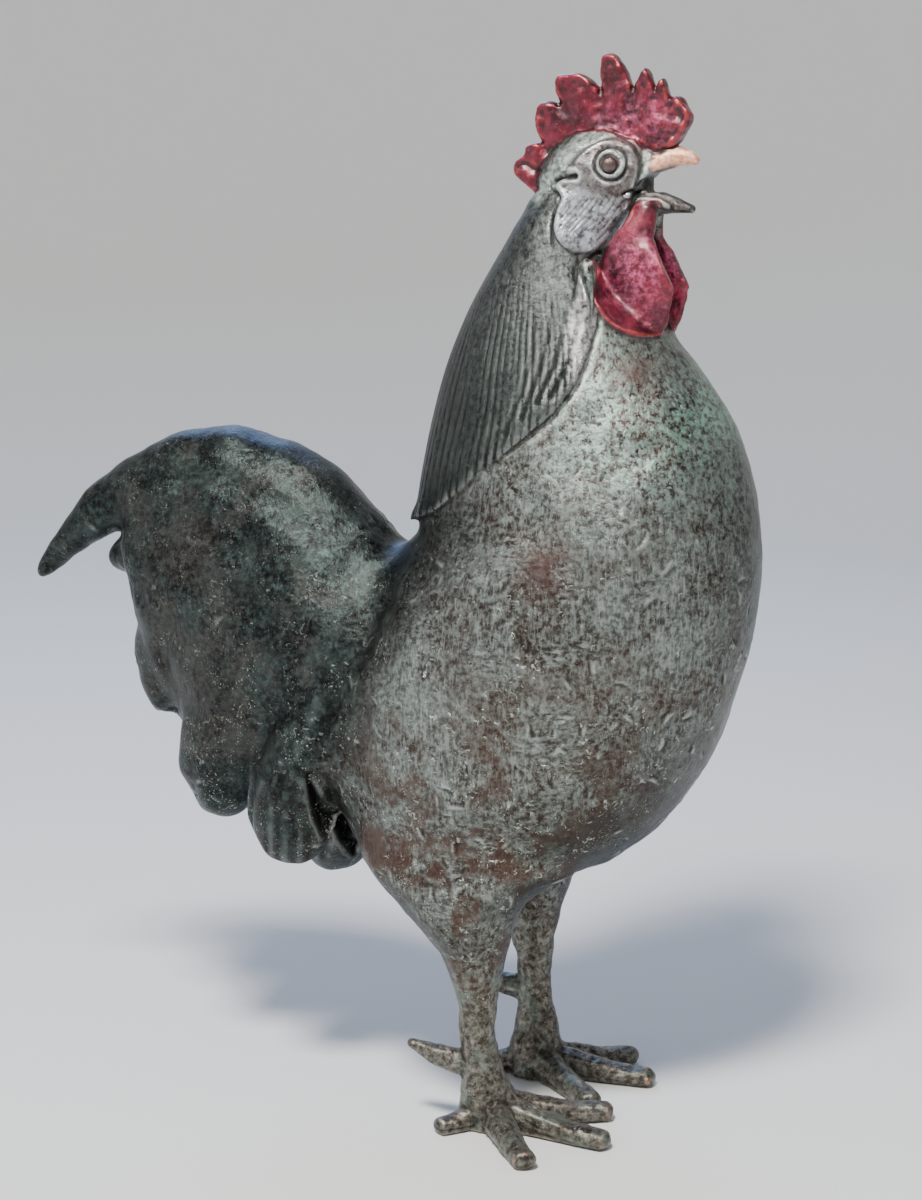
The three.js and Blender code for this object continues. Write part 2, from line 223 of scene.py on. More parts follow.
# %% Draw the regions of the bird
COMB = [
    (154, 640), (138, 645), (125, 651), (113, 652), (103, 648), (91, 637), (82, 625), (74, 612),
    (64, 619), (57, 626), (58, 633), (63, 637), (65, 643), (76, 645), (72, 653), (71, 664),
    (75, 670), (87, 669), (84, 678), (86, 687), (102, 688), (115, 676), (114, 697), (118, 701),
    (126, 698), (136, 678), (138, 684), (143, 691), (150, 677), (154, 684), (160, 673),
    (165, 673), (171, 667), (173, 661), (168, 649), (162, 643),
]
WATTLE = [
    (154, 612), (139, 609), (136, 598), (129, 588), (122, 579), (118, 570), (117, 555), (124, 540),
    (138, 528), (155, 523), (168, 529), (172, 545), (167, 558), (159, 573), (155, 590), (158, 604),
]
FACE = [
    (86, 617), (94, 622), (101, 630), (108, 639), (117, 646), (128, 649), (139, 645), (145, 635),
    (144, 622), (138, 607), (130, 592), (121, 581), (112, 573), (104, 568), (101, 568), (95, 579),
    (93, 591), (94, 603), (99, 613),
]
UPPER_BEAK = [
    (152, 640), (160, 644), (167, 645), (180, 637), (180, 629), (158, 628), (151, 627), (149, 632),
]
LOWER_BEAK = [(143, 617), (158, 616), (180, 607), (180, 600), (160, 598), (150, 600), (146, 608)]
GAPE = [(138, 612), (145, 622), (153, 628), (164, 631), (164, 612), (148, 613)]
LIPS = [(147, 641), (150, 633), (148, 627), (141, 620), (134, 611), (143, 609), (153, 609), (160, 606)]
BAND = [(79, 612), (86, 624), (97, 637), (107, 647), (117, 652), (128, 653), (138, 650), (147, 642)]
CAPE = [
    (60, 640), (92, 607), (94, 584), (104, 570), (116, 562), (124, 548), (126, 532), (123, 513),
    (118, 497), (107, 480), (86, 462), (66, 446), (43, 427), (20, 411), (-8, 399), (-40, 394),
    (-70, 480), (-20, 590),
]
HEM = CAPE[4:16]
SLIT = [(-61, 236), (-52, 214), (-38, 186), (-35, 164), (-50, 156), (-55, 180), (-60, 206)]
RUMP = [(36, 408), (14, 378), (-8, 345), (-30, 305), (-46, 262)]
EYE = (128, 632)
print("largest outlines drawn with", len(COMB), "and", len(FACE), "spots")

# %% [markdown]
# Each region becomes one number on every point, 1 inside and 0 outside with a soft edge between. A
# soft edge lets neighbouring carvings run into each other as they do in clay, where a hard choice of
# faces would leave a saw-toothed border. The wattles and the face have no corners, so theirs are cut.

# %% Find the points of each region


def rounded(outline):
    """A closed outline with its corners cut twice, so that it reads as a curve."""
    spots = np.array(outline, float)
    for _ in range(2):
        following = np.roll(spots, -1, axis=0)
        spots = np.stack([0.75 * spots + 0.25 * following, 0.25 * spots + 0.75 * following], axis=1)
        spots = spots.reshape(-1, 2)
    return [tuple(spot) for spot in spots]


WATTLE = rounded(WATTLE)
FACE = rounded(FACE)

x, y, z = points.T
side = np.abs(y)
comb = ramp(inside(COMB), -4, -1) * fall(side, 8.5, 10.5) * ramp(z, 608, 613)
wattle_depth = inside(WATTLE)
wattle = ramp(wattle_depth, -1, 0.5) * ramp(side, 6, 9) * fall(side, 38, 41)
not_red = (1 - comb) * (1 - wattle)
upper = ramp(inside(UPPER_BEAK), -1, 0.5) * (1 - comb)
lower = ramp(inside(LOWER_BEAK), -1, 0.5) * not_red
cape = ramp(inside(CAPE), -1, 1) * (1 - comb) * (1 - wattle)
head = ramp(z + 0.55 * (x - 100), 572, 590)
foot = fall(z, 75, 150)
tail = ramp(-x + 0.3 * (z - 340), -32, 42) * ramp(z, 120, 170)
for name, region in (("comb", comb), ("wattles", wattle), ("beak", upper + lower), ("cape", cape)):
    print(int(region.sum()), "points on the", name)

# %% [markdown]
# Facets vanish when every point moves a little towards the mean of its neighbours, again and again.
# How far that spreads is chosen by place: broad forms such as the breast take the full strength,
# while the beak, the toes and the comb's points would melt and take little. Smoothing also shrinks
# round forms, so what a first run took away is smoothed in the same way and given back.

# %% Write the smoothing
FULL_STRENGTH = 0.6


def edges_of(mesh):
    """The two ends of every edge of a mesh."""
    ends = np.empty(len(mesh.edges) * 2, np.int64)
    mesh.edges.foreach_get("vertices", ends)
    return ends.reshape(-1, 2)


def relaxed(places, strength, rounds, edges):
    """Values moved towards their neighbours' mean, each by its own strength."""
    first, second = edges.T
    count = len(places)
    neighbours = np.bincount(first, minlength=count) + np.bincount(second, minlength=count)
    places = places.copy()
    for _ in range(rounds):
        for axis in range(places.shape[1]):
            line = places[:, axis]
            mean = np.bincount(first, line[second], count) + np.bincount(second, line[first], count)
            places[:, axis] = line + strength * (mean / neighbours - line)
    return places


def rounded_off(places, strength, rounds, edges):
    """Smooth places that have kept their size."""
    smooth = relaxed(places, strength, rounds, edges)
    return smooth + relaxed(places - smooth, strength, rounds, edges)


edges = edges_of(skin)
print("skin of", len(edges), "edges")

# %% [markdown]
# The breast's facets are so wide that the fine quads would need thousands of rounds. A coarse copy of
# the bird, its core, is therefore smoothed first. Its broad forms lose their facets in few rounds.

# %% Smooth the core
CORE_ROUNDS = 44

core_places = places_of(core) / MM
broad_core = FULL_STRENGTH * ramp(core_places[:, 2], 150, 200)
broad_core *= 1 - 0.92 * fall(core_places[:, 0], -110, -40)
core_places = rounded_off(core_places, broad_core, CORE_ROUNDS, edges_of(core))
core.vertices.foreach_set("co", (core_places * MM).ravel())
core_object = bpy.data.objects.new("core", core)
bpy.context.scene.collection.objects.link(core_object)
print("core smoothed in", CORE_ROUNDS, "rounds")

# %% [markdown]
# The fine skin is then drawn onto the core where the forms are broad, and smoothed itself. The hem of
# the cape, the slit, the tail's tip, the comb, the beak and the mouth keep most of their sharpness.

# %% Smooth away the facets
ROUNDS = 56

near_hem = fall(distance_to(HEM), 5, 14) * (0.25 + 0.75 * fall(x, -5, 15))
near_slit = ramp(inside(SLIT), -12, -5)
tail_tip = fall(x, -255, -215)
broad = FULL_STRENGTH * (1 - fall(z, 90, 165)) * (1 - 0.9 * tail_tip)
broad *= (1 - 0.8 * near_hem) * (1 - 0.8 * near_slit)
broad *= 1 - 0.4 * cape
on_head = 0.21 * (1 - comb) * (1 - ramp(x, 146, 152)) * (1 - ramp(inside(GAPE), -5, -2)) + 0.035
on_head = np.maximum(on_head, 0.75 * wattle * ramp(side, 12, 15) * ramp(wattle_depth, 1.5, 5))
strength = (1 - head) * np.maximum(broad, 0.1) + head * on_head
skin.vertices.foreach_set("co", (points * MM).ravel())
wrapped = places_of(shaped(skin, "SHRINKWRAP", target=core_object)) / MM
drawn = ramp(z, 165, 215) * (1 - fall(x, -90, -30)) * (1 - ramp(z + 0.55 * (x - 100), 545, 575))
drawn *= (1 - near_hem) * (1 - near_slit)
pull = drawn[:, None] * (wrapped - points)
bpy.data.objects.remove(core_object)
points = rounded_off(points + pull, strength, ROUNDS, edges)
print("drawn onto the core by", round(float(np.abs(pull).max()), 1), "mm at most")

# %% [markdown]
# Carving moves each point along the surface's own normal, outwards for a ridge and inwards for a
# groove, so the outline that the solid gives stays put. Normals come from the faces around a point,
# weighted by their size.

# %% Find the surface normals
faces = np.empty(len(skin.loops), np.int64)
skin.loops.foreach_get("vertex_index", faces)
faces = faces.reshape(-1, 4)


def normals_of(places):
    """Unit normals at the points of the quad skin."""
    a, b, c, d = (places[faces[:, corner]] for corner in range(4))
    flat = np.cross(c - a, d - b)
    total = np.stack(
        [
            sum(np.bincount(faces[:, corner], flat[:, axis], len(places)) for corner in range(4))
            for axis in range(3)
        ],
        axis=1,
    )
    return total / np.maximum(np.linalg.norm(total, axis=1, keepdims=True), 1e-12)


normals = normals_of(points)
x, y, z = points.T
side = np.abs(y)
flank = ramp(np.abs(normals[:, 1]), 0.15, 0.5)
print("share of the skin that faces sideways", round(float(flank.mean()), 2))

# %% [markdown]
# A hand-made surface is never even, so most carvings are broken up by a slow noise. It is a grid of
# random numbers, blended smoothly from knot to knot, and seeded so that every run is the same. Where
# it has no direction of its own the grid is turned at random, or its squares would show.

# %% Make the hand's unevenness
KNOTS = 32


def wander(size, seed, stretch=None):
    """Smooth noise from about -1 to 1 at every point, with a grain of so many millimetres."""
    dice = np.random.default_rng(seed)
    knots = dice.uniform(-1, 1, (KNOTS, KNOTS, KNOTS))
    if stretch is None:
        turning = np.linalg.qr(dice.normal(size=(3, 3)))[0]
    else:
        turning = np.diag(1 / np.array(stretch))
    places = points @ turning / size
    cell = np.floor(places).astype(int)
    share = places - cell
    share = share * share * (3 - 2 * share)
    total = np.zeros(len(points))
    for corner in np.ndindex(2, 2, 2):
        weight = np.prod(np.where(corner, share, 1 - share), axis=1)
        total += weight * knots[tuple(((cell + corner) % KNOTS).T)]
    return total


def lumps(*layers):
    """A sum of such noises, each given by its height, its grain and its seed."""
    return sum(height * wander(size, seed) for height, size, seed in layers)


# %% [markdown]
# The tail is one mass whose long feathers are only suggested by soft valleys. Each valley is a stroke
# drawn from a notch in the outline up into the flank. A stroke fades towards its end, so it is given a
# width and a depth at each of its two ends. The last lobe stands clear of the thigh behind a dark slit,
# which is carved only as a recess; its darkness is a painted shade of near black.

# %% Carve the valleys of the tail
SLIT_DEPTH = 5.0
VALLEYS = [
    ([(-236, 378), (-205, 392), (-170, 394), (-135, 380), (-100, 352)], 8, 3.4, 0.3),
    ([(-226, 336), (-200, 350), (-165, 354), (-128, 342)], 10, 3.0, 0.2),
    ([(-188, 246), (-185, 270), (-188, 298), (-172, 330), (-144, 348)], 9, 6.5, 0.6),
    ([(-120, 180), (-114, 198), (-110, 216), (-103, 236), (-90, 264), (-72, 284)], 7, 6.5, 0.5),
    ([(-62, 240), (-51, 266), (-38, 294), (-24, 322), (-12, 356)], 7, 4.0, 3.0),
    ([(-168, 196), (-160, 220), (-145, 246)], 7, 2.2, 0.2),
    ([(-98, 176), (-93, 200), (-90, 224), (-80, 250)], 2.5, 0.9, 0.2),
    ([(-90, 170), (-84, 196), (-81, 222), (-72, 246)], 2.5, 1.0, 0.2),
    ([(-80, 166), (-74, 190), (-72, 214), (-66, 236)], 2.5, 1.0, 0.2),
    ([(-70, 166), (-64, 190), (-63, 210)], 2.5, 0.9, 0.2),
]


def carved(strokes):
    """Depth in millimetres of soft grooves along strokes on both flanks."""
    total = np.zeros(len(x))
    for line, width, start, end in strokes:
        lengths = [math.dist(a, b) for a, b in zip(line[:-1], line[1:])]
        marks = np.cumsum([0.0, *lengths]) / sum(lengths)
        nearest = np.full(len(x), 1e9)
        along = np.zeros(len(x))
        for i, (a, b) in enumerate(zip(line[:-1], line[1:])):
            reach = distance_to([a, b])
            share = ((x - a[0]) * (b[0] - a[0]) + (z - a[1]) * (b[1] - a[1])) / lengths[i] ** 2
            place = marks[i] + np.clip(share, 0, 1) * (marks[i + 1] - marks[i])
            along = np.where(reach < nearest, place, along)
            nearest = np.minimum(nearest, reach)
        total += (start + (end - start) * along) * bell(nearest, width)
    return total * flank


relief = -carved(VALLEYS) * (1 - head) * (1 - foot)
relief -= SLIT_DEPTH * ramp(inside(SLIT), -1, 4) * flank
print("tail carved down to", round(float(relief.min()), 1), "mm")

# %% [markdown]
# Neck feathers are long and narrow, and the sculptor drew them as grooves that fan out from the nape
# to the hem. The angle around the neck's axis tells the feathers apart. A wandering offset keeps the
# grooves from looking ruled, and a slow noise lets each one fade in and out along its length. A thin
# crease parts the hem from the breast, and behind the front edge the cape lies in a few long folds.

# %% Comb the feathers of the cape
NECK_AXIS = ([380, 420, 470, 520, 560, 600, 640], [88, 98, 98, 93, 86, 92, 104])
FEATHERS = 40
HEM_CREASE = 2.2

turn = np.arctan2(side, np.interp(z, *NECK_AXIS) - x)
fan = FEATHERS * turn / math.pi + 0.7 * wander(50, 3, (1, 1, 2)) + 0.3 * wander(14, 4, (1, 1, 2.5))
groove = np.abs((fan % 1) - 0.5) * 2
uneven = 0.55 + 0.45 * np.sin(np.floor(fan) * 2.4) * np.cos(np.floor(fan) * 5.1 + z / 45)
plume = (0.25 + 1.1 * fall(z, 470, 580)) * uneven * (0.75 + 0.5 * wander(22, 33, (1, 1, 2)))
relief -= cape * plume * ramp(groove, 0.5, 1.0)
relief += cape * 0.5 * wander(30, 5, (1, 1, 3))
hem = distance_to(HEM)
crease = (1.2 + 1.0 * ramp(z, 440, 490)) * (1.0 + 0.6 * wander(9, 34)) * bell(hem, HEM_CREASE)
relief -= (1 - cape) * crease * flank * (1 - wattle) * (1 - head)
relief += cape * 0.2 * bell(hem - 4, 3) * flank
FRONT_FOLDS = [
    ([(116, 556), (117, 535), (114, 512), (104, 490)], 1.8, 0.8, 1.1),
    ([(107, 552), (108, 530), (104, 508), (95, 486)], 1.6, 0.5, 1.1),
    ([(98, 545), (98, 525), (95, 505), (86, 476)], 1.6, 0.4, 1.0),
    ([(88, 535), (89, 515), (84, 490), (76, 466)], 1.5, 0.3, 0.9),
]
relief -= cape * carved(FRONT_FOLDS)
print("cape combed into", FEATHERS, "feathers on each side")

# %% [markdown]
# The bare face is a raised plate with an engraved edge. Below the ear it hangs as a lobe covered in
# short hatched strokes. All of it is shallow, so it is pressed into the skin instead of being added as
# a piece of its own. Every number in front of a bell or a ramp is a height in millimetres.

# %% Engrave the face
PLATE_HEIGHT = 1.1

face_depth = inside(FACE)
on_face = head * (1 - comb) * (1 - upper) * (1 - lower) * (1 - wattle) * ramp(side, 8, 12)
relief += on_face * PLATE_HEIGHT * ramp(face_depth, 0, 2.5)
lobe = fall(z, 608, 620)
relief -= on_face * (1.0 + 1.2 * lobe) * bell(face_depth + 0.8, 1.1)
relief += on_face * 0.6 * bell(face_depth - 2.8, 1.4)
relief -= on_face * lobe * 0.8 * ramp(face_depth, 4, 12)
print("points on the face plates", int((on_face * (face_depth > 0)).sum()))

# %% [markdown]
# The eye is a small ball in a round ring, with a groove on either side of the ring, and the ear is a
# deep slit with a raised rim. Circles and strokes give both, bent a little by the slow noise.

# %% Form the eye and the ear
EYE_RING = 7.2
EYE_MOAT = 2.5
EYE_PUPIL = 4.2
EYE_BALL = 1.8
EAR_DEPTH = 3.0
EAR_RIM = 3.6

eye_reach = np.hypot(x - EYE[0], z - EYE[1]) + 0.5 * wander(7, 35)
relief -= on_face * 1.1 * bell(eye_reach - EYE_RING - EYE_MOAT, 1.2)
relief += on_face * 1.3 * bell(eye_reach - EYE_RING, 1.2)
relief -= on_face * 1.3 * bell(eye_reach - EYE_PUPIL - 1.1, 0.8)
relief += on_face * EYE_BALL * bell(eye_reach, EYE_PUPIL, 4)
slit = distance_to([(92, 621), (99, 624), (106, 624.5)])
relief -= on_face * EAR_DEPTH * bell(slit, 1.4)
relief += on_face * 1.1 * bell(slit - EAR_RIM, 1.5)
print("eye ring", round(2 * EYE_RING, 1), "mm across")

# %% [markdown]
# The strokes on the lobe are a wave that slants down and forward, and a slow noise breaks it up. The
# lips get a raised edge with a groove behind it.

# %% Hatch the ear lobe and edge the lips
HATCHING = 2.6

hatch = np.sin((0.8 * x - 0.6 * z) * 2 * math.pi / HATCHING + 1.4 * wander(12, 6))
hatched = lobe * ramp(face_depth, 3, 6) * ramp(wander(16, 36) + (x - 108) / 30, -0.3, 0.4)
relief -= on_face * hatched * 0.35 * ramp(hatch + 0.6 * wander(5, 7), 0.1, 0.9)
relief += on_face * 0.4 * wander(11, 8)
above = head * (1 - ramp(face_depth, -2, 0)) * (1 - comb) * (1 - upper) * (1 - wattle)
relief += above * lumps((0.5, 9, 9), (0.3, 4, 10))
lips = distance_to(LIPS)
outside_mouth = above * (1 - ramp(inside(GAPE), -1, 1))
relief += outside_mouth * bell(lips, 1.8)
relief -= outside_mouth * 0.9 * bell(lips - 3.2, 1.2)
print("relief on the head from", round(float((relief * head).min()), 1), "mm")

# %% [markdown]
# The comb's blade is pinched between its points and has thick rims. Each wattle is a shallow dish
# with a rolled edge. Where a wattle lies against the neck it is raised from it, with a crease round
# its edge.

# %% Model the comb and the wattles
PINCHES = [
    ([(77, 645), (84, 634), (88, 628)], 3.0, 2.4, 0.3),
    ([(88, 669), (97, 656)], 4, 2.4, 0.2),
    ([(115, 675), (116, 658)], 4, 2.6, 0.2),
    ([(136, 677), (130, 660)], 3.5, 2.2, 0.2),
    ([(150, 676), (144, 660)], 3, 1.8, 0.2),
    ([(161, 672), (152, 658)], 3, 1.6, 0.2),
    ([(72, 628), (66, 632)], 2.5, 2.0, 1.0),
]
comb_depth = inside(COMB)
relief -= comb * carved(PINCHES)
relief += comb * flank * 0.6 * bell(comb_depth - 2, 1.8) * ramp(z, 630, 645)
relief += comb * flank * 1.2 * round_spot(150, 655, 13)
relief += comb * lumps((0.7, 8, 11), (0.5, 3.2, 12))
relief += comb * 0.8 * ramp(x, 156, 162) * ramp(wander(4.5, 13), -0.2, 0.3)
wattle_depth = inside(WATTLE)
hanging = head * (1 - upper) * (1 - lower) * ramp(side, 12, 16) * fall(side, 38, 41)
relief += wattle * 1.6 * ramp(side, 13, 29) * ramp(wattle_depth, 0, 1.5)
relief -= hanging * (1 - wattle) * 2.2 * bell(wattle_depth + 1.4, 1.2)
relief += wattle * flank * 0.8 * bell(wattle_depth - 1.5, 1.2)
relief -= wattle * flank * 1.8 * ramp(wattle_depth, 2.5, 11) * fall(z, 575, 600)
relief += wattle * lumps((0.6, 10, 14), (0.3, 3.5, 15))
relief += (upper + lower) * 0.3 * wander(5, 16)
nostril = distance_to([(147, 634), (152, 636)])
relief -= upper * 0.9 * bell(nostril, 1.2)
print("relief so far up to", round(float(relief.max()), 1), "mm")

# %% [markdown]
# The rest is clay work: broad thumb presses, and crumbs and smears of clay that were never wiped
# off. Each smear is one short bent ridge, laid on the body at a random spot and in a random
# direction, with a scrape beside it. These are real forms that catch the light, so they are carved
# too. Anything finer than a millimetre is left to the material.

# %% Leave the marks of the clay
SMEARS = 220
SMEAR_REACH = 14.0

clay = (1 - head) * (1 - foot * 0.7) * (1 - cape)
relief += clay * lumps((1.0, 42, 17), (0.7, 17, 18), (0.35, 7, 19))
relief += foot * lumps((0.8, 11, 23), (0.6, 4.5, 24))
dice = np.random.default_rng(5)
likely = clay * ramp(z, 130, 170) * (0.15 + fall(z, 300, 400))
likely *= (0.2 + ramp(wander(55, 20), 0, 0.3)) * (1 - 0.75 * tail)
spots = dice.choice(len(points), SMEARS, replace=False, p=likely / likely.sum())
smear = np.zeros(len(points))
rising = np.argsort(z)
for spot in spots:
    low, high = np.searchsorted(z[rising], (z[spot] - SMEAR_REACH, z[spot] + SMEAR_REACH))
    near = rising[low:high]
    near = near[np.abs(points[near] - points[spot]).max(axis=1) < SMEAR_REACH]
    way = np.cross(normals[spot], dice.normal(size=3))
    way /= np.linalg.norm(way)
    offset = points[near] - points[spot]
    along = offset @ way
    aside = offset @ np.cross(normals[spot], way) + dice.uniform(-0.06, 0.06) * along**2
    fading = dice.uniform(0.4, 1) * bell(along, dice.uniform(2, 6), 3)
    thick = dice.uniform(0.9, 1.6)
    smear[near] += fading * bell(aside, thick)
    smear[near] -= 0.7 * fading * bell(aside + 2 * thick, thick)
smear = np.clip(smear, -1, 1.2)
relief += 0.75 * smear * clay
points = points + normals * (relief * ramp(z, 0.5, 4))[:, None]
points[:, 2] = np.maximum(points[:, 2], 0)
print("carved from", round(float(relief.min()), 1), "to", round(float(relief.max()), 1), "mm")

# %% [markdown]
# Patina settles in hollows and rubs off on ridges. Height above a smoothed copy of the skin says
# which is which, once the part of it that every broad round form has is taken off. It is kept as a
# number on every point.

# %% Note where the hollows are
normals = normals_of(points)
full = np.full(len(points), FULL_STRENGTH)
soft = relaxed(points, full, 12, edges)
proud = np.einsum("ij,ij->i", points - soft, normals)
proud -= relaxed(proud[:, None], full, 40, edges)[:, 0]
lowest, highest = np.percentile(proud, (5, 95))
print("hollows from", round(float(lowest), 2), "mm, ridges to", round(float(highest), 2), "mm")

# %% [markdown]
# The same is done for the regions: where the red parts, the face, the cape, the tail and the feet are,
# where shade and highlights are painted, and where the toes are worn. The material reads these numbers
# back as attributes. That needs no unwrapping of the surface, which would leave seams on so free a
# form.

# %% Note where the colours go
FEET_MIDDLES = [(58, -50), (57, 51)]

x, y, z = points.T
side = np.abs(y)
bare = head * (1 - comb) * (1 - wattle)
plate = bare * ramp(face_depth, -0.5, 0.8) * (1 - upper) * (1 - lower)
tips = np.min([np.hypot(x - a, y - b) for a, b in FEET_MIDDLES], axis=0)
rings = bell(eye_reach - EYE_RING, 1.6) + bell(slit - EAR_RIM + 0.1, 2) * 0.6
edge_or_lips = bell(np.minimum(distance_to(BAND) / 6, distance_to(LIPS) / 3), 1)
# Painted shade: downward faces, the breast's far front, the rump's crease and the back under the cape
# are marked to be darkened as if in shadow.
undersides = 1.2 * fall(normals[:, 2], -0.6, 0.0)
breast_front = 0.8 * ramp(x, 185, 230)
rump_line = 0.9 * bell(distance_to(RUMP), 22) * flank
below_cape = 0.8 * fall(np.abs(x - 20), 20, 60) * fall(z, 400, 455) * ramp(z, 330, 400)
shaded = np.max([undersides, breast_front, rump_line, below_cape], axis=0)
marks = {
    "proud": proud,
    "red": np.maximum(comb, wattle),
    "copper": upper,
    "jaw": lower,
    # Painted highlight: a pink sheen on each wattle's dish and on the comb's front.
    "painted_sheen": wattle * round_spot(146, 565, 19)
    + 0.6 * comb * bell(np.hypot((x - 140) / 1.6, z - 660), 13),
    # Painted shade: the mouth between the beaks is marked to be coloured dark as if in shadow.
    "mouth_painted_shade": bare * ramp(inside(GAPE), -1.5, 1) * (1 - lower),
    "plate": plate,
    "lobe": plate * fall(z + 0.3 * x, 640, 655),
    "pale": bare * edge_or_lips * (1 - plate) + plate * rings,
    "smear": np.maximum(smear, 0) * clay,
    "clay": clay * fall(z, 300, 430) * (1 - 0.6 * tail),
    "stain": round_spot(111, 386, 17) + round_spot(154, 504, 16),
    "verdigris": round_spot(184, 474, 20) * (1 - head),
    # Painted shade: the cape is marked to grow darker towards its lower part.
    "lower_cape_shade": cape * fall(z, 480, 590),
    "pupil": plate * bell(eye_reach, EYE_PUPIL + 1.2, 6),
    "cape": cape,
    "tail": tail,
    "foot": foot,
    "tips": foot * ramp(tips, 72, 82),
    "low": (1 - head) * fall(z, 180, 340),
    # Painted shade: the slit is marked to be coloured near black, as its recess would be in shadow.
    "slit": ramp(inside(SLIT), -2.5, 0.5) * flank,
    "shade": (1 - head) * (1 - foot) * shaded,
    # Partly painted highlight: the upper breast's green film is also made paler where the light falls
    # on it.
    "breast": (1 - head) * (1 - cape) * ramp(z, 380, 470) * ramp(x, 70, 140),
    # Painted highlight: a pale band along the cape's front fold.
    "cape_front_highlight": cape * ramp(x - 0.25 * np.abs(z - 530), 104, 114) * fall(z, 560, 575),
}
print("marks:", ", ".join(marks))

# %% [markdown]
# The fine quads are far too many to ship. Decimating merges points where the surface is flat and
# keeps them on edges and grooves, so the finished skin is light and loses nothing that shows.

# %% Thin the skin and keep the marks
MOST_TRIANGLES = 194000

skin.vertices.foreach_set("co", to_model(points).ravel())
skin.update()
light_skin = shaped(skin, "DECIMATE", ratio=MOST_TRIANGLES / (2 * len(skin.polygons)))
tree = kdtree.KDTree(len(points))
for index, place in enumerate(to_model(points)):
    tree.insert(place, index)
tree.balance()
nearest = np.array([tree.find(vertex.co)[1] for vertex in light_skin.vertices])
for name, values in marks.items():
    mark = light_skin.attributes.new(name, "FLOAT", "POINT")
    mark.data.foreach_set("value", values[nearest].astype(np.float32))
light_skin.shade_smooth()
rooster = bpy.data.objects.new("rooster_skin", light_skin)
bpy.context.scene.collection.objects.link(rooster)
light_skin.calc_loop_triangles()
print("finished skin of", len(light_skin.loop_triangles), "triangles")

# %% [markdown]
# Node trees are easier to read as sums. This class wraps one output socket, so that arithmetic on it
# adds Math nodes, and one method makes every other kind of node.

# %% Write shader maths as expressions


class Flow:
    """What comes out of one node of a material, ready for more arithmetic."""

    def __init__(self, tree, socket=None):
        self.tree = tree
        self.socket = socket

    def node(self, kind, settings=None, inputs=None, output=0):
        """A new node of any kind: its settings first, then its inputs, by name or number."""
        made = self.tree.nodes.new(kind)
        for key, setting in (settings or {}).items():
            setattr(made, key, setting)
        for key, given in (inputs or {}).items():
            if isinstance(given, Flow):
                self.tree.links.new(given.socket, made.inputs[key])
            else:
                made.inputs[key].default_value = given
        return Flow(self.tree, made.outputs[output]) if made.outputs else made

    def math(self, operation, first, second=0.0):
        return self.node("ShaderNodeMath", {"operation": operation}, {0: first, 1: second})

    def __add__(self, other):
        return self.math("ADD", self, other)

    def __radd__(self, other):
        return self.math("ADD", other, self)

    def __sub__(self, other):
        return self.math("SUBTRACT", self, other)

    def __rsub__(self, other):
        return self.math("SUBTRACT", other, self)

    def __mul__(self, other):
        return self.math("MULTIPLY", self, other)

    def __rmul__(self, other):
        return self.math("MULTIPLY", other, self)

    def __abs__(self):
        return self.math("ABSOLUTE", self)

    def between(self, low, high):
        """0 below low, 1 above high, and smooth in between."""
        settings = {"interpolation_type": "SMOOTHSTEP"}
        return self.node("ShaderNodeMapRange", settings, {0: self, 1: low, 2: high})

    def tint(self, under, over):
        """Colour under where this is 0, and colour over where it is 1."""
        settings = {"data_type": "RGBA"}
        return self.node("ShaderNodeMix", settings, {0: self, 6: under, 7: over}, 2)


def new_material(name):
    """A material with an empty node tree, and the flow to build it from."""
    made = bpy.data.materials.new(name)
    made.use_nodes = True
    made.node_tree.nodes.clear()
    return made, Flow(made.node_tree)


def finish_material(start, settings):
    """Closes a material with one Principled shader."""
    shader = start.node("ShaderNodeBsdfPrincipled", inputs=settings)
    start.node("ShaderNodeOutputMaterial", inputs={0: shader})


def rgb(red, green, blue):
    """A colour from 8-bit screen values."""
    parts = [value / 255 for value in (red, green, blue)]
    return (*(part / 12.92 if part < 0.04 else ((part + 0.055) / 1.055) ** 2.4 for part in parts), 1)


# %% [markdown]
# Old garden bronze is a brown metal under a thin skin of grey-green salts. From a step away it reads
# as grey, and close up as fine brush marks, rusty stains and pale flecks. Each of those is one noise
# at its own grain size. The brush marks are noise stretched in three directions, and a slower noise
# decides which direction rules where.

# %% Gather the noises and marks of the bronze
bronze, start = new_material("weathered bronze")
where = start.node("ShaderNodeTexCoord", output=3)


def grain(scale, detail=4.0, rough=0.6, stretch=(1, 1, 1), turn=(0, 0, 0), move=0.0):
    """Noise between 0 and 1, with so many grains to the metre."""
    mapped = start.node(
        "ShaderNodeMapping",
        inputs={"Vector": where, "Location": (move, move, move), "Rotation": turn, "Scale": stretch},
    )
    inputs = {"Vector": mapped, "Scale": scale, "Detail": detail, "Roughness": rough}
    return start.node("ShaderNodeTexNoise", inputs=inputs)


def mark(name):
    """A number kept on the skin's points."""
    return start.node("ShaderNodeAttribute", {"attribute_name": name}, output=2)


BRISTLES = 520
proud_mark = mark("proud")
hollow = (0 - proud_mark).between(0.04, 0.3)
ridge = proud_mark.between(0.05, 0.35)
patch = grain(11, 8, 0.62)
cloud = grain(46, 8, 0.68, move=3)
fine = grain(260, 8, 0.72, move=15)
leaning = grain(26, 2, 0.5, move=13).between(0.46, 0.54)
level = grain(21, 2, 0.5, move=29).between(0.46, 0.54)
down = grain(BRISTLES, 4, 0.6, stretch=(1, 1, 0.2), turn=(0.1, 0.45, 0), move=1)
across = grain(BRISTLES, 4, 0.6, stretch=(0.2, 1, 1), turn=(0.2, -0.5, 0.3), move=5)
slant = grain(BRISTLES, 4, 0.6, stretch=(1, 1, 0.2), turn=(0.2, -0.9, 0), move=8)
brush = leaning * down + (1 - leaning) * (level * across + (1 - level) * slant)
speck = grain(700, 3, 0.7, move=7)
flecks = speck.between(0.6, 0.68) * grain(60, 4, 0.65, move=9).between(0.46, 0.62)
winding = abs(grain(80, 3, 0.55, move=17) - 0.5)
